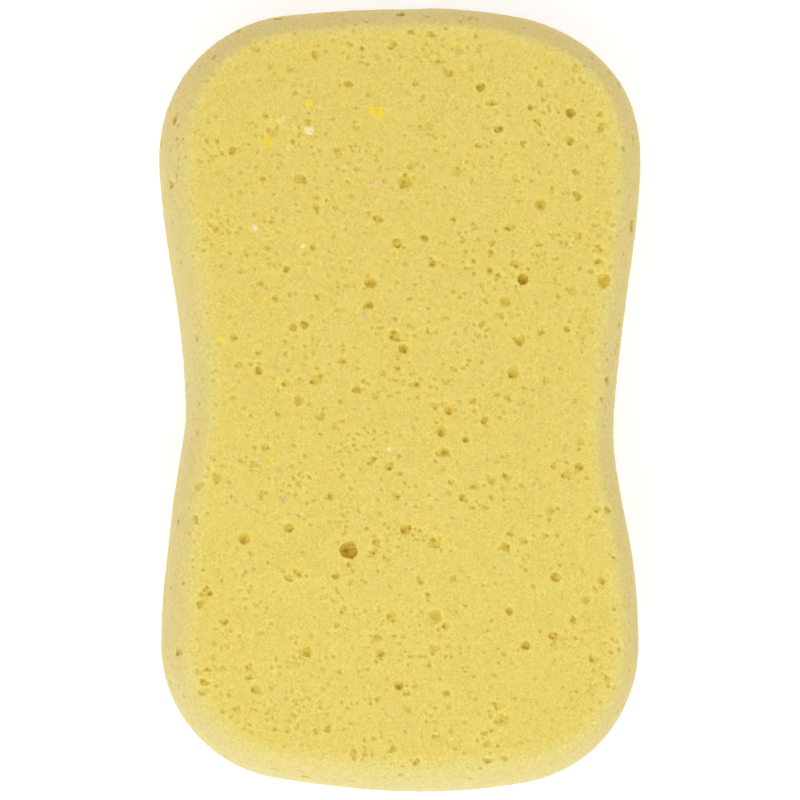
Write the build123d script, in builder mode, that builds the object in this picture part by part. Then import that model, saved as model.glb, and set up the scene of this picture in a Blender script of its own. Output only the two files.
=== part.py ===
from build123d import *
import os
from math import asin, cos, degrees, sin

# A hand sponge for decorating: one waisted block of soft open-cell foam, in millimetres.
# It lies flat: +Y runs along its length, +Z is up out of the working face, and the origin is
# the middle of the face it rests on.

LENGTH = 200.0
THICKNESS = 50.0

# The outline is taken at mid-thickness, where the block is widest. Each end is one shallow arc
# with a round corner at each side. The -Y end is slightly narrower and more curved.
UPPER_HALF_WIDTH = 61.4
UPPER_END_RADIUS = 225.0
UPPER_CORNER_RADIUS = 36.0
LOWER_HALF_WIDTH = 60.8
LOWER_END_RADIUS = 180.0
LOWER_CORNER_RADIUS = 35.0

# The hand grips the waist, which sits a little below the middle. The flanks run through it.
WAIST = (54.7, -6.0)
UPPER_FLANK = (58.9, 35.0)
LOWER_FLANK = (58.3, -32.0)

# The soft side walls stand out between the two faces, and the face edges are rounded.
WALL_BULGE = 3.5
EDGE_RADIUS = 5.0


def end_centres(half_width, end_radius, corner_radius):
    """Distances of one end's arcs: end centre along Y, corner centre in X and Y, half angle."""
    end_centre = LENGTH / 2 - end_radius
    corner_x = half_width - corner_radius
    half_angle = asin(corner_x / (end_radius - corner_radius))
    corner_y = end_centre + (end_radius - corner_radius) * cos(half_angle)
    return end_centre, corner_x, corner_y, degrees(half_angle)


def outline(height, inset):
    """The closed outline at one height, drawn inwards from the widest section by inset."""
    upper_centre, upper_x, upper_y, upper_angle = end_centres(
        UPPER_HALF_WIDTH, UPPER_END_RADIUS, UPPER_CORNER_RADIUS
    )
    lower_centre, lower_x, lower_y, lower_angle = end_centres(
        LOWER_HALF_WIDTH, LOWER_END_RADIUS, LOWER_CORNER_RADIUS
    )
    upper_end = UPPER_END_RADIUS - inset
    lower_end = LOWER_END_RADIUS - inset
    upper_corner = UPPER_CORNER_RADIUS - inset
    lower_corner = LOWER_CORNER_RADIUS - inset
    flank_points = [
        (UPPER_HALF_WIDTH - inset, upper_y),
        (UPPER_FLANK[0] - inset, UPPER_FLANK[1]),
        (WAIST[0] - inset, WAIST[1]),
        (LOWER_FLANK[0] - inset, LOWER_FLANK[1]),
        (LOWER_HALF_WIDTH - inset, -lower_y),
    ]
    mirrored_points = [(-x, y) for x, y in reversed(flank_points)]
    with BuildSketch(Plane.XY.offset(height)) as section:
        with BuildLine():
            Spline(*flank_points, tangents=[(0, -1), (0, -1)])
            CenterArc((lower_x, -lower_y), lower_corner, 0, lower_angle - 90)
            CenterArc((0, -lower_centre), lower_end, lower_angle - 90, -2 * lower_angle)
            CenterArc((-lower_x, -lower_y), lower_corner, -90 - lower_angle, lower_angle - 90)
            Spline(*mirrored_points, tangents=[(0, 1), (0, 1)])
            CenterArc((-upper_x, upper_y), upper_corner, 180, upper_angle - 90)
            CenterArc((0, upper_centre), upper_end, 90 + upper_angle, -2 * upper_angle)
            CenterArc((upper_x, upper_y), upper_corner, 90 - upper_angle, upper_angle - 90)
        make_face()
    return section.sketch


# The sponge block: three sections joined by one smooth wall, then rounded at both faces.
resting_section = outline(0.0, WALL_BULGE)
middle_section = outline(THICKNESS / 2, 0.0)
working_section = outline(THICKNESS, WALL_BULGE)

with BuildPart() as sponge_block:
    loft(sections=[resting_section, middle_section, working_section])
    face_edges = sponge_block.faces().filter_by(GeomType.PLANE).edges()
    fillet(face_edges, radius=EDGE_RADIUS)

sponge_block.part.label = "sponge_block"

os.makedirs("parts", exist_ok=True)
export_step(sponge_block.part, "parts/sponge_block.step")
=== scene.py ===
import math

import bpy
import numpy as np
import openvdb
from mathutils import Matrix, Vector


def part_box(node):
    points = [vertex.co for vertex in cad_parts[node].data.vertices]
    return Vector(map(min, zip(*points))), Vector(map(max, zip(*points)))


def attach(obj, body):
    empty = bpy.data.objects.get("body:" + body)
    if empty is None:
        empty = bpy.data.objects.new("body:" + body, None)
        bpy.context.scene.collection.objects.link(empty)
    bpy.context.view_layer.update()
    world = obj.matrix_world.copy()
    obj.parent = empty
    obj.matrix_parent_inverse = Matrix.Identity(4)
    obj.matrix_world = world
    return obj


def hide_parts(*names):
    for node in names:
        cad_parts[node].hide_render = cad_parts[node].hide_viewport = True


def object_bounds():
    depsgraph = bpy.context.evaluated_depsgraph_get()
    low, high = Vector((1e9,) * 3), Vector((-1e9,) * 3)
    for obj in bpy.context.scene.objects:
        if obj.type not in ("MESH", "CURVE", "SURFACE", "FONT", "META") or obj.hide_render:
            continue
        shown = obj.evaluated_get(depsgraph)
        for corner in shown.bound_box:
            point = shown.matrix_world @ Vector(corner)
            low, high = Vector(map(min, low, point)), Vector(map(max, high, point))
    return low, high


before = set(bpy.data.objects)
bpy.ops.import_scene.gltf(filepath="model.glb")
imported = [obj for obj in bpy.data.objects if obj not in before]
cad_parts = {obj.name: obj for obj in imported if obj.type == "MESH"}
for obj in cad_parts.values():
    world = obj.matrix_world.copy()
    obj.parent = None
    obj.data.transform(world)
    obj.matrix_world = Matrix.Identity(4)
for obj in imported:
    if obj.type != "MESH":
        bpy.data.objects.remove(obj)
cad_low, cad_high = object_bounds()

# The sponge is one block of open-cell foam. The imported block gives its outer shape. Pores, grain
# and crumbs are worked into that shape on a grid of signed distances, negative inside the foam,
# and the grid becomes one closed mesh. That part works in millimetres, in the frame's own axes.
MM = 0.001
NODE = "sponge_block"
PIECE = "foam_sponge"
LOW, HIGH = (np.array(corner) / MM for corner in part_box(NODE))
SEED = 41

# The grid: its spacing, how far it reaches beyond the block, and how far from the surface its
# distances are known.
VOXEL = 0.3
MARGIN = 4 * VOXEL
BAND = 9.0

# Soft swells and dents in the outline: direction round the block in degrees from +X, height, and
# width in degrees. Directions are taken as if the block were as wide as it is long.
OUTLINE_BUMPS = (
    (-166.0, 1.0, 7.0),
    (-142.0, -0.35, 12.0),
    (-115.0, -1.0, 30.0),
    (-88.0, -0.3, 14.0),
    (-60.0, 0.3, 18.0),
    (-14.0, -1.4, 12.0),
    (12.0, 0.5, 12.0),
    (55.0, -1.1, 11.0),
    (78.0, 0.4, 14.0),
    (112.0, -0.6, 20.0),
    (172.0, 0.2, 12.0),
)

# A soft bevel that flattens the rounded rim: how far it leans over from the face, in degrees, how
# far from the outline it passes and how far below the face it is there, how much farther in it
# passes at the +Y end, and how softly it starts.
BEVEL_LEAN = 60.0
BEVEL_REACH = 3.8
BEVEL_DROP = 2.8
BEVEL_GROWTH = 1.2
BEVEL_BLEND = 1.5

# Slow unevenness of the moulded surface: height and length of each wave.
WAVES = ((0.3, 34.0), (0.08, 8.0))

# Pores that catch the eye on the working face: x, y, diameter, and depth as a share of diameter.
LANDMARK_PORES = (
    (-14.0, -39.5, 3.9, 0.8),
    (50.0, 28.5, 3.6, 0.44),
    (0.0, 53.0, 3.5, 0.35),
    (34.0, 47.5, 3.2, 0.36),
    (-8.5, 27.5, 3.2, 0.35),
    (27.0, 5.0, 3.0, 0.39),
    (-40.0, -36.5, 3.3, 0.35),
    (-2.0, 37.5, 2.8, 0.35),
    (25.0, 23.0, 2.6, 0.4),
    (28.5, 13.0, 2.6, 0.4),
    (9.0, -9.5, 2.6, 0.37),
    (11.0, -4.5, 2.5, 0.4),
    (9.5, -15.0, 2.8, 0.3),
    (7.5, -55.5, 2.9, 0.42),
    (-1.5, -73.0, 2.2, 0.55),
    (37.5, -46.0, 2.6, 0.4),
    (-24.5, -64.5, 2.5, 0.45),
    (-37.0, -74.0, 2.6, 0.3),
    (-26.5, 53.5, 2.7, 0.3),
    (30.0, -63.0, 2.4, 0.4),
    (-29.0, -34.0, 2.4, 0.45),
    (29.5, 28.5, 2.5, 0.8),
    (-26.5, -2.0, 2.5, 0.4),
    (-9.0, 22.0, 2.4, 0.4),
    (-52.0, -23.5, 2.7, 0.3),
    (-0.5, 11.0, 2.3, 0.6),
    (41.5, 70.5, 2.3, 0.7),
    (19.0, 77.0, 2.3, 0.55),
    (-6.0, -65.0, 2.3, 0.4),
    (37.0, -60.5, 2.3, 0.45),
    (25.0, -38.5, 2.2, 0.45),
    (43.5, -18.5, 2.2, 0.45),
    (26.0, -54.5, 2.1, 0.45),
)

# Random pores: how many, the middle and spread of their diameters, and the range of their depth
# as a share of diameter.
LARGE_PORES = (160, 2.3, 0.15, (0.2, 0.34))
MEDIUM_PORES = (1650, 1.4, 0.3, (0.18, 0.34))
PINHOLES = (5200, 0.8, 0.15, (0.4, 0.62))

# The working face keeps only a share of the large ones, because it has its landmarks, and all
# within a thin layer of the top counts as that face. The wall and the rim lose a share of all
# random pores.
FACE_SHARE = 0.8
FACE_LAYER = 1.0
WALL_THINNING = 0.5
RIM_THINNING = 0.85

# The least gap between wide pores, and how softly the edge of a pore is rounded.
PORE_GAP = 0.25
PORE_BLEND = 0.25

# Pores wider than this have a side lobe: the range of its ball as a share of the pore's ball, and
# how far it stands aside as a share of half the pore's width.
LOBED_WIDTH = 1.2
LOBE_SIZES = (0.6, 0.85)
LOBE_SHIFT = 0.45

# Pores with a larger ball than this have windows in their floor: how many, the range of their
# radius as a share of the ball's, the largest ball radius that counts for it, how far they stray
# from the deepest point, and how much of them lies beyond the floor.
WINDOWED_RADIUS = 0.9
FEWEST_WINDOWS = 2
MOST_WINDOWS = 5
WINDOW_SIZES = (0.28, 0.45)
WINDOW_SIZE_LIMIT = 1.5
WINDOW_STRAY = 0.7
WINDOW_SINK = 0.2

# Many pinholes come in swarms: their share of all pinholes, how many share one swarm, and how
# far they stray from its middle.
SWARM_SHARE = 0.5
SWARM_COUNT = 8
SWARM_SPREAD = 2.4

# Fine grain: the cups of the cut cells, closely packed over the whole surface. The cells' spacing,
# how far beyond the block they are tried, the layer along the surface that keeps them, their
# middle radius with its spread and limits, how far off a cell is felt, and how deep the grain is.
CELL_PITCH = 0.8
CELL_MARGIN = 1.0
CELL_LAYER = 0.6
CELL_RADIUS = 0.4
CELL_SPREAD = 0.28
CELL_LIMITS = (0.2, 0.65)
CELL_REACH = 0.35
GRAIN_DEPTH = 0.16

# What is left of the grain inside the pores, from what depth on, and how much smaller the cells
# are on the rim.
GRAIN_IN_PORES = 0.7
GRAIN_CALM_DEPTH = 0.4
RIM_CALM = 0.35

# Crumbs stuck in the cells of the working face: x, y, width, colour.
YELLOW_CRUMB = (0.86, 0.68, 0.07)
WHITE_CRUMB = (0.92, 0.8, 0.48)
PALE_CRUMB = (0.83, 0.7, 0.27)
PINK_CRUMB = (0.82, 0.58, 0.3)
GREY_CRUMB = (0.6, 0.55, 0.3)
CRUMBS = (
    (-7.5, 70.5, 3.6, YELLOW_CRUMB),
    (-24.0, 72.5, 2.2, YELLOW_CRUMB),
    (-34.5, 62.5, 3.0, YELLOW_CRUMB),
    (-35.0, 23.5, 1.6, YELLOW_CRUMB),
    (-45.5, 13.0, 1.6, YELLOW_CRUMB),
    (-33.0, -17.0, 1.9, YELLOW_CRUMB),
    (-24.0, 65.5, 2.3, WHITE_CRUMB),
    (-29.0, 61.0, 2.0, PALE_CRUMB),
    (-28.0, 66.5, 1.6, PALE_CRUMB),
    (-31.0, 68.5, 1.8, PALE_CRUMB),
    (-37.5, 41.0, 1.4, WHITE_CRUMB),
    (-25.5, 36.5, 1.1, WHITE_CRUMB),
    (-4.0, -14.5, 1.2, WHITE_CRUMB),
    (-7.0, 52.5, 1.8, PINK_CRUMB),
    (-10.0, 19.5, 1.6, GREY_CRUMB),
    (-32.0, 6.0, 1.4, GREY_CRUMB),
    (-54.5, 3.5, 1.5, GREY_CRUMB),
    (-30.0, -27.0, 1.5, GREY_CRUMB),
)

# Each crumb is a clump of balls: how many, how far they stray, the range of their radii, and how
# deep they sink, all as shares of the crumb's width, and how softly they join the foam.
CRUMB_BALLS = 5
CRUMB_STRAY = 0.35
CRUMB_RADII = (0.16, 0.24)
CRUMB_SINK = 0.15
CRUMB_BLEND = 0.15

# How strongly a crumb's colour covers the foam's, and how far off it fades out, in ball radii.
CRUMB_COVER = 0.85
CRUMB_FADE = 1.2


# ---------------------------------------------------------------- distance fields


def smoothstep(value):
    """0 up to 0, 1 from 1 on, and a smooth rise between."""
    value = np.clip(value, 0, 1)
    return value * value * (3 - 2 * value)


def cad_shell(node):
    """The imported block's surface: welded points in millimetres, and triangles."""
    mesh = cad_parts[node].data
    mesh.calc_loop_triangles()
    points = np.empty(len(mesh.vertices) * 3, np.float32)
    mesh.vertices.foreach_get("co", points)
    corners = np.empty(len(mesh.loop_triangles) * 3, np.int32)
    mesh.loop_triangles.foreach_get("vertices", corners)
    weld = 0.001
    keys = np.round(points.reshape(-1, 3) / MM / weld)
    welded, index = np.unique(keys, axis=0, return_inverse=True)
    triangles = index[corners].reshape(-1, 3)
    whole = (
        (triangles[:, 0] != triangles[:, 1])
        & (triangles[:, 1] != triangles[:, 2])
        & (triangles[:, 2] != triangles[:, 0])
    )
    return (welded * weld).astype(np.float32), triangles[whole].astype(np.uint32)


def uneven_outline(points):
    """The block's points with the swells and dents of its outline."""
    around = np.degrees(np.arctan2(points[:, 1] / HIGH[1], points[:, 0] / HIGH[0]))
    stand = np.zeros(len(points))
    for direction, height, width in OUTLINE_BUMPS:
        apart = (around - direction + 180) % 360 - 180
        stand += height * np.exp(-((apart / width) ** 2))
    moved = points.copy()
    moved[:, :2] *= (1 + stand / np.maximum(np.hypot(points[:, 0], points[:, 1]), 1))[:, None]
    return moved


def block_distances(points, triangles):
    """The block's distances on the grid, and the grid's first index."""
    grid = openvdb.FloatGrid.createLevelSetFromPolygons(
        points,
        triangles=triangles,
        transform=openvdb.createLinearTransform(voxelSize=VOXEL),
        halfWidth=BAND / VOXEL,
    )
    first = np.floor((LOW - MARGIN) / VOXEL).astype(int)
    last = np.ceil((HIGH + MARGIN) / VOXEL).astype(int)
    values = np.empty(tuple(last - first + 1), np.float32)
    grid.copyToArray(values, ijk=tuple(int(i) for i in first))
    return values, first


def sample(values, first, points):
    """The grid's value at each point, mixed from the eight voxels round it."""
    place = points / VOXEL - first
    place = np.clip(place, 0, np.array(values.shape) - 1.001)
    whole = place.astype(int)
    part = (place - whole).astype(np.float32)
    total = np.zeros(len(points), np.float32)
    for i in (0, 1):
        for j in (0, 1):
            for k in (0, 1):
                weight = (
                    (part[:, 0] if i else 1 - part[:, 0])
                    * (part[:, 1] if j else 1 - part[:, 1])
                    * (part[:, 2] if k else 1 - part[:, 2])
                )
                total += weight * values[whole[:, 0] + i, whole[:, 1] + j, whole[:, 2] + k]
    return total


def slope(values, first, points, step=2 * VOXEL):
    """The unit direction in which the distance grows fastest, at each point."""
    rise = np.empty((len(points), 3), np.float32)
    for axis in range(3):
        move = np.zeros(3)
        move[axis] = step
        rise[:, axis] = sample(values, first, points + move) - sample(values, first, points - move)
    return rise / np.maximum(np.linalg.norm(rise, axis=1), 1e-6)[:, None]


def smooth_noise(shape, pitch, rng):
    """Even random waves of about one unit over the whole grid, with lumps about pitch wide."""
    counts = [int(math.ceil(n * VOXEL / pitch)) + 2 for n in shape]
    wave = rng.standard_normal(counts).astype(np.float32)
    for axis in range(3):
        place = np.arange(shape[axis]) * VOXEL / pitch
        whole = place.astype(int)
        spread = [1, 1, 1]
        spread[axis] = -1
        part = smoothstep(place - whole).reshape(spread).astype(np.float32)
        wave = np.take(wave, whole, axis) * (1 - part) + np.take(wave, whole + 1, axis) * part
    return wave


def smooth_max(a, b, blend):
    """The larger of two fields, rounded where they cross."""
    mix = np.clip(0.5 + 0.5 * (a - b) / blend, 0, 1)
    return b + (a - b) * mix + blend * mix * (1 - mix)


def bevelled(block, first):
    """The block's distances with the bevel cut into both rims."""
    middle = round((LOW[2] + HIGH[2]) / 2 / VOXEL) - first[2]
    side = block[:, :, middle, None]
    heights = (np.arange(block.shape[2]) + first[2]) * VOXEL
    above = np.maximum(heights - HIGH[2], LOW[2] - heights).astype(np.float32)
    along = (np.arange(block.shape[1]) + first[1]) * VOXEL / HIGH[1]
    reach = BEVEL_REACH + BEVEL_GROWTH * smoothstep(along).astype(np.float32)[:, None]
    lean = math.radians(BEVEL_LEAN)
    bevel = math.sin(lean) * (side + reach) + math.cos(lean) * (above + BEVEL_DROP)
    return smooth_max(block, bevel, BEVEL_BLEND)


def work_balls(values, first, centres, radii, blend, sign):
    """Cuts balls out of the foam, sign 1, or adds them to it, sign -1, with softly rounded rims."""
    shape = np.array(values.shape)
    for centre, radius in zip(centres, radii):
        reach = radius + 2 * blend
        low = np.maximum(np.floor((centre - reach) / VOXEL).astype(int) - first, 0)
        high = np.minimum(np.ceil((centre + reach) / VOXEL).astype(int) - first + 1, shape)
        if (high <= low).any():
            continue
        gaps = [
            (np.arange(low[axis], high[axis]) + first[axis]) * VOXEL - centre[axis]
            for axis in range(3)
        ]
        away = np.sqrt(
            gaps[0][:, None, None] ** 2 + gaps[1][None, :, None] ** 2 + gaps[2][None, None, :] ** 2
        )
        part = values[low[0] : high[0], low[1] : high[1], low[2] : high[2]]
        part[...] = sign * smooth_max(sign * part, (radius - away).astype(np.float32), blend)


def nearest_cell(shape, first, centres, radii, reach):
    """The distance from each voxel to the nearest of many small balls, up to reach."""
    nearest = np.full(int(np.prod(shape)), reach, np.float32)
    home = np.round(centres / VOXEL).astype(int)
    rest = (home * VOXEL - centres).astype(np.float32)
    home = home - first
    limit = int(math.ceil((reach + radii.max()) / VOXEL))
    inside = ((home >= limit) & (home < np.array(shape) - limit)).all(1)
    home = home[inside]
    rest = rest[inside]
    radii = radii[inside]
    flat = (home[:, 0] * shape[1] + home[:, 1]) * shape[2] + home[:, 2]
    steps = np.arange(-limit, limit + 1)
    for i in steps:
        for j in steps:
            for k in steps:
                if math.sqrt(i * i + j * j + k * k) > limit + 0.5:
                    continue
                move = rest + np.array([i, j, k], np.float32) * VOXEL
                away = np.sqrt((move * move).sum(1)) - radii
                close = away < reach
                target = flat[close] + (i * shape[1] + j) * shape[2] + k
                np.minimum.at(nearest, target, away[close])
    return nearest.reshape(shape)


# ---------------------------------------------------------------- pores, grain and crumbs


def scatter_on_surface(points, triangles, count, rng):
    """Random places spread evenly over the block's surface."""
    corners = points[triangles]
    across = np.cross(corners[:, 1] - corners[:, 0], corners[:, 2] - corners[:, 0])
    areas = np.linalg.norm(across, axis=1)
    chosen = rng.choice(len(triangles), count, p=areas / areas.sum())
    u = np.sqrt(rng.random(count))[:, None]
    v = rng.random(count)[:, None]
    a, b, c = corners[chosen, 0], corners[chosen, 1], corners[chosen, 2]
    return a * (1 - u) + b * u * (1 - v) + c * u * v


def keep_apart(places, sizes, taken):
    """Which of the places stay clear of each other and of the first ones, taken in number."""
    kept = list(range(taken))
    for number in range(taken, len(places)):
        away = np.linalg.norm(places[kept] - places[number], axis=1)
        if (away > sizes[kept] + sizes[number] + PORE_GAP).all():
            kept.append(number)
    return np.array(kept)


def rim_share(outward):
    """How much a surface belongs to the rounded rim: 0 on a face or the wall, 1 midway."""
    return 2 * np.abs(outward[:, 2]) * np.hypot(outward[:, 0], outward[:, 1])


def random_pores(kind, points, triangles, block, first, rng):
    """Place, diameter and depth of the pores of one kind, fewer on the wall and on the rim."""
    count, middle, spread, depth_range = kind
    places = scatter_on_surface(points, triangles, count, rng)
    widths = middle * np.exp(spread * rng.standard_normal(count))
    depths = widths * rng.uniform(*depth_range, count)
    outward = slope(block, first, places)
    share = 1 - WALL_THINNING * (1 - np.abs(outward[:, 2]))
    share *= 1 - RIM_THINNING * rim_share(outward)
    kept = rng.random(count) < share
    return places[kept], widths[kept], depths[kept]


def pinholes(points, triangles, block, first, rng):
    """Place, diameter and depth of the pinholes, some of them gathered in swarms."""
    places, widths, depths = random_pores(PINHOLES, points, triangles, block, first, rng)
    swarmed = int(SWARM_SHARE * len(places))
    leaders = places[rng.integers(0, max(swarmed // SWARM_COUNT, 1), swarmed)]
    outward = slope(block, first, leaders)
    stray = SWARM_SPREAD * rng.standard_normal((swarmed, 3))
    places[:swarmed] = leaders + stray - outward * (stray * outward).sum(1)[:, None]
    return places, widths, depths


def landmark_pores():
    """Place, diameter and depth of the pores that are listed."""
    x, y, widths, shares = np.array(LANDMARK_PORES).T
    return np.column_stack([x, y, np.full(len(x), HIGH[2])]), widths, widths * shares


def all_pores(points, triangles, block, first, rng):
    """Place, diameter and depth of every pore, listed or placed at random."""
    landmarks = landmark_pores()
    large = random_pores(LARGE_PORES, points, triangles, block, first, rng)
    below = large[0][:, 2] < HIGH[2] - FACE_LAYER
    spared = below | (rng.random(len(large[0])) < FACE_SHARE)
    large = [values[spared] for values in large]
    medium = random_pores(MEDIUM_PORES, points, triangles, block, first, rng)
    wide = [np.concatenate(parts) for parts in zip(landmarks, large, medium)]
    kept = keep_apart(wide[0], wide[1] / 2, len(LANDMARK_PORES))
    wide = [values[kept] for values in wide]
    narrow = pinholes(points, triangles, block, first, rng)
    return [np.concatenate(parts) for parts in zip(wide, narrow)]


def pore_balls(places, widths, depths, block, first, rng):
    """The balls that open pores that wide and deep, with a side lobe on each wide one."""
    outward = slope(block, first, places)
    surface = places - outward * sample(block, first, places)[:, None]
    radii = (widths**2 / 4 + depths**2) / (2 * depths)
    centres = surface - outward * (depths - radii)[:, None]
    lobed = widths > LOBED_WIDTH
    way = np.cross(outward[lobed], rng.standard_normal((lobed.sum(), 3)))
    way /= np.linalg.norm(way, axis=1)[:, None]
    lobe_radii = radii[lobed] * rng.uniform(*LOBE_SIZES, lobed.sum())
    lobes = centres[lobed] + way * (LOBE_SHIFT * widths[lobed] / 2)[:, None]
    return np.vstack([centres, lobes]), np.concatenate([radii, lobe_radii]), outward


def window_balls(centres, radii, outward, rng):
    """The smaller balls that open into the floor of each wide pore."""
    found, sizes = [], []
    for centre, radius, out in zip(centres, radii, outward):
        if radius < WINDOWED_RADIUS:
            continue
        for _ in range(rng.integers(FEWEST_WINDOWS, MOST_WINDOWS + 1)):
            way = rng.standard_normal(3) * WINDOW_STRAY - out
            way /= np.linalg.norm(way)
            size = rng.uniform(*WINDOW_SIZES) * min(radius, WINDOW_SIZE_LIMIT)
            found.append(centre + way * (radius + WINDOW_SINK * size))
            sizes.append(size)
    return np.array(found), np.array(sizes)


def cell_balls(values, first, rng):
    """Centres and radii of the fine cells, in a thin layer along the whole surface."""
    lows = LOW - CELL_MARGIN
    highs = HIGH + CELL_MARGIN
    axes = [np.arange(low, high, CELL_PITCH) for low, high in zip(lows, highs)]
    centres = np.stack(np.meshgrid(*axes, indexing="ij"), -1).reshape(-1, 3)
    centres = centres + rng.uniform(0, CELL_PITCH, centres.shape)
    centres = centres[np.abs(sample(values, first, centres)) < CELL_LAYER]
    radii = CELL_RADIUS * np.exp(CELL_SPREAD * rng.standard_normal(len(centres)))
    radii *= 1 - RIM_CALM * rim_share(slope(values, first, centres))
    return centres, np.clip(radii, *CELL_LIMITS).astype(np.float32)


def grain(block, pored, first, rng):
    """How far the cups of the fine cells lower the surface, less so inside the pores."""
    cells, radii = cell_balls(pored, first, rng)
    nearest = nearest_cell(pored.shape, first, cells, radii, CELL_REACH)
    ridge = np.clip((nearest + CELL_RADIUS) / (CELL_REACH + CELL_RADIUS), 0, 1)
    calm = 1 - (1 - GRAIN_IN_PORES) * np.clip((pored - block) / GRAIN_CALM_DEPTH, 0, 1)
    return GRAIN_DEPTH * (0.5 - ridge * ridge) * calm


def crumb_balls(block, first, rng):
    """The small balls that clump into each crumb, sunk a little into the working face."""
    centres, radii = [], []
    for x, y, width, _ in CRUMBS:
        place = np.array([[x, y, HIGH[2]]])
        outward = slope(block, first, place)[0]
        surface = place[0] - outward * sample(block, first, place)
        for _ in range(CRUMB_BALLS):
            aside = np.append(rng.uniform(-CRUMB_STRAY, CRUMB_STRAY, 2) * width, 0)
            centres.append(surface + aside - outward * CRUMB_SINK * width)
            radii.append(width * rng.uniform(*CRUMB_RADII))
    return np.array(centres), np.array(radii)


# ---------------------------------------------------------------- mesh


def largest_piece(points, faces):
    """The mesh without the loose bits that cutting leaves."""
    label = np.arange(len(points))
    ends = faces[:, [0, 1, 2]].ravel(), faces[:, [1, 2, 3]].ravel()
    while True:
        lower = np.minimum(label[ends[0]], label[ends[1]])
        before = label.copy()
        np.minimum.at(label, label[ends[0]], lower)
        np.minimum.at(label, label[ends[1]], lower)
        label = label[label]
        if (label == before).all():
            break
    names, counts = np.unique(label, return_counts=True)
    kept = label == names[counts.argmax()]
    number = np.cumsum(kept) - 1
    return points[kept], number[faces[kept[faces[:, 0]]]]


def foam_surface():
    """The block's field, the crumbs' balls, and the foam's vertices and quads."""
    rng = np.random.default_rng(SEED)
    points, triangles = cad_shell(NODE)
    points = uneven_outline(points)
    block, first = block_distances(points, triangles)
    block = bevelled(block, first)
    for height, pitch in WAVES:
        block -= height * smooth_noise(block.shape, pitch, rng)
    places, widths, depths = all_pores(points, triangles, block, first, rng)
    centres, radii, outward = pore_balls(places, widths, depths, block, first, rng)
    windows, window_radii = window_balls(centres, radii, outward, rng)
    foam = block.copy()
    work_balls(foam, first, centres, radii, PORE_BLEND, 1)
    work_balls(foam, first, windows, window_radii, PORE_BLEND, 1)
    foam += grain(block, foam, first, rng)
    crumbs, crumb_radii = crumb_balls(block, first, rng)
    work_balls(foam, first, crumbs, crumb_radii, CRUMB_BLEND, -1)
    grid = openvdb.FloatGrid(BAND)
    grid.transform = openvdb.createLinearTransform(voxelSize=VOXEL)
    grid.copyFromArray(foam, ijk=tuple(int(i) for i in first))
    vertices, faces = largest_piece(*grid.convertToQuads())
    return block, first, crumbs, crumb_radii, vertices, faces


def quad_mesh(name, vertices, faces):
    """A smooth mesh of quads, from millimetres to metres."""
    mesh = bpy.data.meshes.new(name)
    mesh.vertices.add(len(vertices))
    mesh.vertices.foreach_set("co", (vertices * MM).astype(np.float32).ravel())
    mesh.loops.add(faces.size)
    mesh.loops.foreach_set("vertex_index", faces.astype(np.int32).ravel())
    mesh.polygons.add(len(faces))
    mesh.polygons.foreach_set("loop_start", np.arange(0, faces.size, 4, dtype=np.int32))
    mesh.update(calc_edges=True)
    mesh.shade_smooth()
    return mesh


def store(mesh, name, kind, values):
    """Writes one value or colour per vertex."""
    field = "color" if kind == "FLOAT_COLOR" else "value"
    attribute = mesh.attributes.new(name, kind, "POINT")
    attribute.data.foreach_set(field, values.astype(np.float32).ravel())


def wall_lean(block, first, vertices):
    """0 on a face and 1 on the upright wall, with the rim's change spread into the face."""
    outward = slope(block, first, vertices, WALL_SPREAD)
    return np.hypot(outward[:, 0], outward[:, 1])


def crumb_colours(vertices, crumbs, crumb_radii):
    """Each vertex's crumb colour, with an alpha that fades from the crumb to 0."""
    colours = np.zeros((len(vertices), 4))
    for number, (centre, radius) in enumerate(zip(crumbs, crumb_radii)):
        near = np.flatnonzero(np.abs(vertices - centre).max(1) < (1 + CRUMB_FADE) * radius)
        away = np.linalg.norm(vertices[near] - centre, axis=1) - radius
        cover = CRUMB_COVER * smoothstep(1 - away / (CRUMB_FADE * radius))
        colours[near, :3] = CRUMBS[number // CRUMB_BALLS][3]
        colours[near, 3] = np.maximum(colours[near, 3], cover)
    return colours


# ---------------------------------------------------------------- UV layout

# The gap between the layout's parts, how far up or down a quad of a face points, and the steps
# in which the outline is measured.
SHEET_GAP = 4.0
FACE_LEAN = 0.7
OUTLINE_STEPS = 720


def outline_lengths(block, first):
    """Angles right round the block, and the way along its outline at mid height to each."""
    angles = np.linspace(-math.pi, math.pi, OUTLINE_STEPS + 1)
    reach = np.arange(0, HIGH[1] + 1, VOXEL)
    x = np.outer(np.cos(angles), reach)
    y = np.outer(np.sin(angles), reach)
    z = np.full_like(x, (LOW[2] + HIGH[2]) / 2)
    rays = np.stack([x, y, z], -1).reshape(-1, 3)
    inside = (sample(block, first, rays) < 0).reshape(x.shape)
    radii = reach[inside.sum(1) - 1]
    steps = np.hypot(np.diff(radii * np.cos(angles)), np.diff(radii * np.sin(angles)))
    return angles, np.append(0, np.cumsum(steps))


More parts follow.
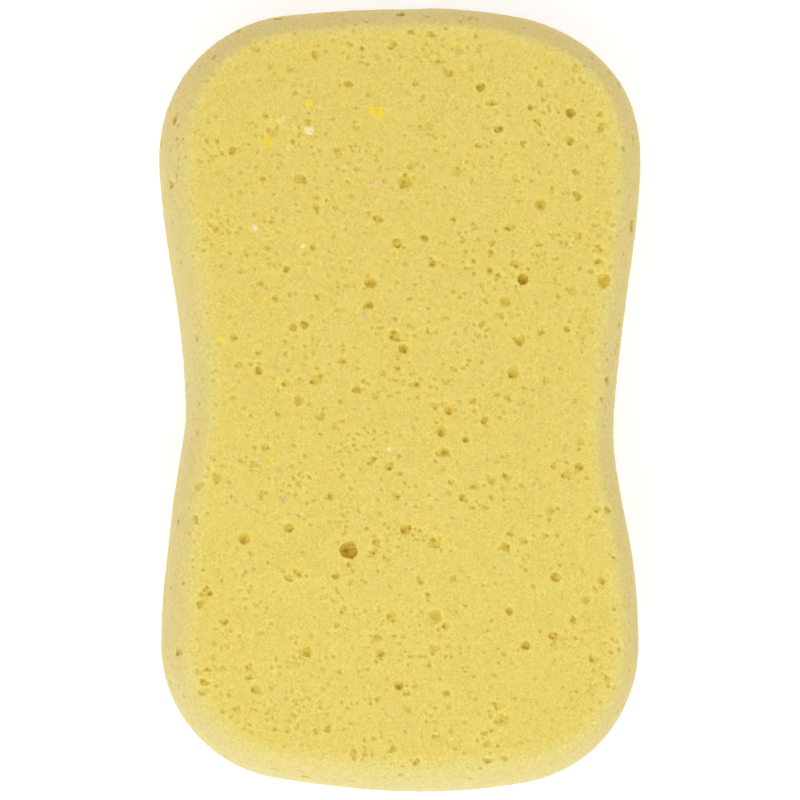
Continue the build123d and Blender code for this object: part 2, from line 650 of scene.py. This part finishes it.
def lay_out(mesh, vertices, faces, block, first):
    """UVs with both faces of the block side by side and its wall in two strips above them."""
    corners = vertices[faces]
    centres = corners.mean(1)
    lean = slope(block, first, centres)[:, 2]
    width, length, height = HIGH - LOW
    flat = np.empty(faces.shape + (2,))

    top = lean > FACE_LEAN
    flat[top] = corners[top][..., :2] - LOW[:2] + SHEET_GAP
    bottom = lean < -FACE_LEAN
    flat[bottom, :, 0] = HIGH[0] - corners[bottom][..., 0] + width + 2 * SHEET_GAP
    flat[bottom, :, 1] = corners[bottom][..., 1] - LOW[1] + SHEET_GAP

    angles, lengths = outline_lengths(block, first)
    middle = np.arctan2(centres[:, 1], centres[:, 0])
    for strip, (start, end) in enumerate(((-math.pi, 0), (0, math.pi))):
        wall = ~top & ~bottom & (middle >= start) & (middle <= end)
        around = np.arctan2(corners[wall][..., 1], corners[wall][..., 0]) - middle[wall, None]
        around = (around + math.pi) % (2 * math.pi) - math.pi + middle[wall, None]
        along = np.interp(np.clip(around, start, end), angles, lengths)
        rise = length + (strip + 2) * SHEET_GAP + strip * height
        flat[wall, :, 0] = along - np.interp(start, angles, lengths) + SHEET_GAP
        flat[wall, :, 1] = corners[wall][..., 2] - LOW[2] + rise

    sheet = length + 2 * height + 4 * SHEET_GAP
    layer = mesh.uv_layers.new(name="OFBake")
    layer.data.foreach_set("uv", (flat / sheet).astype(np.float32).ravel())


# ---------------------------------------------------------------- material

# The foam's colour at each depth under the block's surface, in millimetres: on the face, in the
# cups of the cut cells, in a pore, and at the bottom of the deepest pores. The darker, deeper-toned
# colours below the face are painted shade: they stand in for the occlusion and bounce light in the
# hollows.
FACE_COLOUR = (0.787, 0.648, 0.182)
CUP_SHADED_COLOUR = (0.735, 0.59, 0.13)
PORE_SHADED_COLOUR = (0.765, 0.57, 0.081)
DEEP_SHADED_COLOUR = (0.79, 0.525, 0.062)
DEPTHS = (-0.1, 0.3, 1.0, 3.6)

# What the foam's colour is multiplied by from a face, at 0, over the rim to the wall, at 1, and
# how far the rim's change spreads. It is partly the wall's own paler tone and partly painted
# light: a painted highlight along the inner edge of the rim, a painted sheen that pales the wall
# and painted shade that darkens the upright wall.
WALL_SPREAD = 3.0
WALL_TONE_AND_PAINTED_LIGHT = (
    (0.0, (1.0, 1.0, 1.0)),
    (0.12, (1.015, 1.045, 1.11)),
    (0.45, (0.955, 1.01, 1.38)),
    (0.8, (0.91, 0.925, 1.22)),
    (1.0, (0.88, 0.875, 1.23)),
)

# Uneven colour: the width of its lumps in metres, the noise's detail, and what the foam's colour
# is multiplied by. The first two are on the whole surface and the third is in the pores only,
# from none at the first depth to all of it at the second.
PATCHES = (0.0016, 2, ((0.3, (0.97, 0.97, 0.97)), (0.7, (1.03, 1.03, 1.03))))
DRIFT = (0.0028, 2, ((0.3, (1.01, 0.99, 0.96)), (0.7, (0.99, 1.01, 1.04))))
MOTTLE = (0.0008, 1, ((0.34, (0.83, 0.79, 0.67)), (0.6, (1.04, 1.04, 1.04))))
MOTTLE_DEPTHS = (0.5, 1.6)

# The finest cells, too small for the mesh: their width in metres, what the foam's colour is
# multiplied by from their middle to their edge, and how deep they are in the bump. The darker
# middles are painted shade in the cells' hollows and the paler edges a painted highlight on their
# rims. They fade in slow lumps that wide, between these noise levels, and never below a least
# share.
VOID_WIDTH = 0.0006
VOID_PAINTED_SHADE_AND_HIGHLIGHT = ((0.1, (0.86, 0.83, 0.55)), (0.5, (1.0, 1.0, 1.0)), (0.9, (1.06, 1.06, 1.13)))
VOID_BUMP = 0.00012
VOID_BUMP_STRENGTH = 0.3
VOID_LUMPS = 0.0035
VOID_LEVELS = (0.3, 0.8)
VOID_LEAST = 0.35

# Roughness: the width of its lumps in metres, its least value, and how far it rises above that.
ROUGH_LUMPS = 0.0008
ROUGH_LEAST = 0.84
ROUGH_RISE = 0.12


def node(tree, kind, **settings):
    """A new node with its settings."""
    made = tree.nodes.new(kind)
    for name, value in settings.items():
        setattr(made, name, value)
    return made


def link(tree, start, end):
    """Joins an output socket to an input socket."""
    tree.links.new(start, end)


def attribute(tree, name, output):
    """A value or colour that the mesh carries."""
    return node(tree, "ShaderNodeAttribute", attribute_name=name).outputs[output]


def maths(tree, operation, a, b):
    """One sum on a linked value and a number."""
    made = node(tree, "ShaderNodeMath", operation=operation)
    link(tree, a, made.inputs[0])
    made.inputs[1].default_value = b
    return made.outputs[0]


def spread(tree, value, low, high):
    """The value mapped so that low gives 0 and high gives 1, kept within them."""
    made = node(tree, "ShaderNodeMapRange")
    link(tree, value, made.inputs["Value"])
    made.inputs["From Min"].default_value = low
    made.inputs["From Max"].default_value = high
    return made.outputs["Result"]


def ramp(tree, value, stops):
    """A colour ramp through (position, colour) stops."""
    made = node(tree, "ShaderNodeValToRGB")
    elements = made.color_ramp.elements
    while len(elements) < len(stops):
        elements.new(0.5)
    for element, (position, colour) in zip(elements, stops):
        element.position = position
        element.color = (*colour, 1)
    link(tree, value, made.inputs["Fac"])
    return made.outputs["Color"]


def mix(tree, blend, factor, a, b):
    """Two colours mixed. The factor and the second colour may be linked or plain."""
    made = node(tree, "ShaderNodeMix", data_type="RGBA", blend_type=blend)
    for name, value in (("Factor_Float", factor), ("A_Color", a), ("B_Color", b)):
        socket = next(s for s in made.inputs if s.identifier == name)
        if isinstance(value, bpy.types.NodeSocket):
            link(tree, value, socket)
        else:
            socket.default_value = value
    return next(s for s in made.outputs if s.identifier == "Result_Color")


def noise(tree, size, detail):
    """Noise with lumps about that many metres wide, around 0.5."""
    place = node(tree, "ShaderNodeTexCoord").outputs["Object"]
    made = node(tree, "ShaderNodeTexNoise")
    made.inputs["Scale"].default_value = 1 / size
    made.inputs["Detail"].default_value = detail
    link(tree, place, made.inputs["Vector"])
    return made.outputs["Fac"]


def uneven(tree, size, detail, stops):
    """A colour that wanders through the stops, in lumps about that many metres wide."""
    return ramp(tree, noise(tree, size, detail), stops)


def voronoi(tree, size):
    """Cells about that many metres wide: 0 in the middle of each, and more towards its edge."""
    place = node(tree, "ShaderNodeTexCoord").outputs["Object"]
    made = node(tree, "ShaderNodeTexVoronoi")
    made.inputs["Scale"].default_value = 1 / size
    link(tree, place, made.inputs["Vector"])
    return made.outputs["Distance"]


def foam_material():
    """Matte yellow foam: painted shade in the pores, a paler wall with painted light, and fine
    grain.
    """
    material = bpy.data.materials.new("yellow_foam")
    material.use_nodes = True
    tree = material.node_tree
    tree.nodes.clear()
    shader = node(tree, "ShaderNodeBsdfPrincipled")
    link(tree, shader.outputs["BSDF"], node(tree, "ShaderNodeOutputMaterial").inputs["Surface"])

    depth = spread(tree, attribute(tree, "depth", "Fac"), DEPTHS[0], DEPTHS[-1])
    colours = (FACE_COLOUR, CUP_SHADED_COLOUR, PORE_SHADED_COLOUR, DEEP_SHADED_COLOUR)
    reach = DEPTHS[-1] - DEPTHS[0]
    stops = [((at - DEPTHS[0]) / reach, colour) for at, colour in zip(DEPTHS, colours)]
    # Painted shade: the colour darkens and deepens with depth in the cups and pores.
    colour = ramp(tree, depth, stops)
    # Partly the wall's own paler tone, partly painted light: a painted rim highlight, a painted
    # sheen and painted shade on the upright wall.
    wall_tone_and_painted_light = ramp(tree, attribute(tree, "wall", "Fac"), WALL_TONE_AND_PAINTED_LIGHT)
    colour = mix(tree, "MULTIPLY", 1.0, colour, wall_tone_and_painted_light)
    crumb = attribute(tree, "crumb", "Alpha")
    colour = mix(tree, "MIX", crumb, colour, attribute(tree, "crumb", "Color"))
    colour = mix(tree, "MULTIPLY", 1.0, colour, uneven(tree, *PATCHES))
    colour = mix(tree, "MULTIPLY", 1.0, colour, uneven(tree, *DRIFT))
    inside = spread(tree, attribute(tree, "depth", "Fac"), *MOTTLE_DEPTHS)
    colour = mix(tree, "MULTIPLY", inside, colour, uneven(tree, *MOTTLE))
    cells = voronoi(tree, VOID_WIDTH)
    clear = spread(tree, noise(tree, VOID_LUMPS, 1), *VOID_LEVELS)
    clear = maths(tree, "ADD", clear, VOID_LEAST)
    # Painted shade in the middles of the finest cells and a painted highlight on their edges.
    colour = mix(tree, "MULTIPLY", clear, colour, ramp(tree, cells, VOID_PAINTED_SHADE_AND_HIGHLIGHT))
    link(tree, colour, shader.inputs["Base Color"])

    bump = node(tree, "ShaderNodeBump")
    bump.inputs["Strength"].default_value = VOID_BUMP_STRENGTH
    bump.inputs["Distance"].default_value = VOID_BUMP
    link(tree, cells, bump.inputs["Height"])
    link(tree, bump.outputs["Normal"], shader.inputs["Normal"])

    rough = spread(tree, noise(tree, ROUGH_LUMPS, 2), 0.2, 0.8)
    rough = maths(tree, "MULTIPLY", rough, ROUGH_RISE)
    link(tree, maths(tree, "ADD", rough, ROUGH_LEAST), shader.inputs["Roughness"])
    shader.inputs["Specular IOR Level"].default_value = 0.25
    shader.inputs["Subsurface Weight"].default_value = 1.0
    shader.inputs["Subsurface Radius"].default_value = (1.0, 0.7, 0.3)
    shader.inputs["Subsurface Scale"].default_value = 0.002
    shader.inputs["Sheen Weight"].default_value = 0.08
    shader.inputs["Sheen Roughness"].default_value = 0.6
    shader.inputs["Sheen Tint"].default_value = (1.0, 0.92, 0.78, 1)
    return material


# ---------------------------------------------------------------- the piece


def foam_sponge():
    """The whole sponge as one piece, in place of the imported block."""
    block, first, crumbs, crumb_radii, vertices, faces = foam_surface()
    mesh = quad_mesh(PIECE, vertices, faces)
    store(mesh, "depth", "FLOAT", -sample(block, first, vertices))
    store(mesh, "wall", "FLOAT", wall_lean(block, first, vertices))
    store(mesh, "crumb", "FLOAT_COLOR", crumb_colours(vertices, crumbs, crumb_radii))
    lay_out(mesh, vertices, faces, block, first)
    mesh.materials.append(foam_material())
    sponge = bpy.data.objects.new(PIECE, mesh)
    bpy.context.scene.collection.objects.link(sponge)
    return sponge


sponge = foam_sponge()
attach(sponge, "root")
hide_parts(NODE)


# ---------------------------------------------------------------- studio

# The studio, in metres. The fill comes from all round, the key from high over the -Y end, and the
# backdrop is only what the camera sees of the world.
FLOOR_HALF = 3.0
FLOOR_COLOUR = (0.5, 0.5, 0.5, 1)
FLOOR_GLOW = 0.62
FILL_STRENGTH = 0.68
FILL_COLOUR = (1.1, 1.0, 1.0, 1)
BACKDROP_STRENGTH = 1.05
KEY_PLACE = (-0.13, -0.58, 1.1)
KEY_SIZE = 1.1
KEY_POWER = 8.0
KEY_COLOUR = (0.83, 1.0, 1.0)

# The camera: its lens in millimetres, how far it leans to -X and to -Y in degrees, and half the
# width that it sees at the middle of the sponge.
CAMERA_LENS = 180.0
CAMERA_TILT_X = 3.0
CAMERA_TILT_Y = 4.5
VIEW_HALF = 0.1022


def studio_world():
    """Soft, slightly warm light from all round, and a white backdrop."""
    world = bpy.data.worlds.new("studio")
    bpy.context.scene.world = world
    world.use_nodes = True
    tree = world.node_tree
    background = tree.nodes["Background"]
    background.inputs["Color"].default_value = FILL_COLOUR
    seen = node(tree, "ShaderNodeLightPath").outputs["Is Camera Ray"]
    extra = maths(tree, "MULTIPLY", seen, BACKDROP_STRENGTH - FILL_STRENGTH)
    link(tree, maths(tree, "ADD", extra, FILL_STRENGTH), background.inputs["Strength"])


def studio_floor():
    """A wide sheet of white paper under the sponge."""
    half = FLOOR_HALF
    mesh = bpy.data.meshes.new("floor")
    corners = [(-half, -half, 0), (half, -half, 0), (half, half, 0), (-half, half, 0)]
    mesh.from_pydata(corners, [], [(0, 1, 2, 3)])
    paper = bpy.data.materials.new("white_paper")
    paper.use_nodes = True
    shader = paper.node_tree.nodes["Principled BSDF"]
    shader.inputs["Base Color"].default_value = FLOOR_COLOUR
    shader.inputs["Roughness"].default_value = 0.9
    shader.inputs["Specular IOR Level"].default_value = 0.0
    shader.inputs["Emission Color"].default_value = (1, 1, 1, 1)
    shader.inputs["Emission Strength"].default_value = FLOOR_GLOW
    mesh.materials.append(paper)
    floor = bpy.data.objects.new("floor", mesh)
    bpy.context.scene.collection.objects.link(floor)


def key_light():
    """One large soft lamp, slightly cool, beyond the near end of the sponge."""
    data = bpy.data.lights.new("key", "AREA")
    data.shape = "DISK"
    data.size = KEY_SIZE
    data.energy = KEY_POWER
    data.color = KEY_COLOUR
    light = bpy.data.objects.new("key", data)
    light.location = KEY_PLACE
    light.rotation_euler = (-Vector(KEY_PLACE)).to_track_quat("-Z", "Y").to_euler()
    bpy.context.scene.collection.objects.link(light)


def photo_camera():
    """A long lens almost straight above the working face, with +Y up in the picture."""
    data = bpy.data.cameras.new("camera")
    data.lens = CAMERA_LENS
    tilt_x = math.radians(CAMERA_TILT_X)
    tilt_y = math.radians(CAMERA_TILT_Y)
    away = Vector((-math.sin(tilt_x), -math.sin(tilt_y), 1.0)).normalized()
    right = Vector((0, 1, 0)).cross(away).normalized()
    distance = VIEW_HALF * data.lens / (data.sensor_width / 2)
    turn = Matrix((right, away.cross(right), away)).transposed().to_4x4()
    camera = bpy.data.objects.new("camera", data)
    camera.matrix_world = Matrix.Translation((cad_low + cad_high) / 2 + away * distance) @ turn
    bpy.context.scene.collection.objects.link(camera)
    bpy.context.scene.camera = camera


bpy.context.scene.view_settings.view_transform = "Standard"
studio_world()
studio_floor()
key_light()
photo_camera()
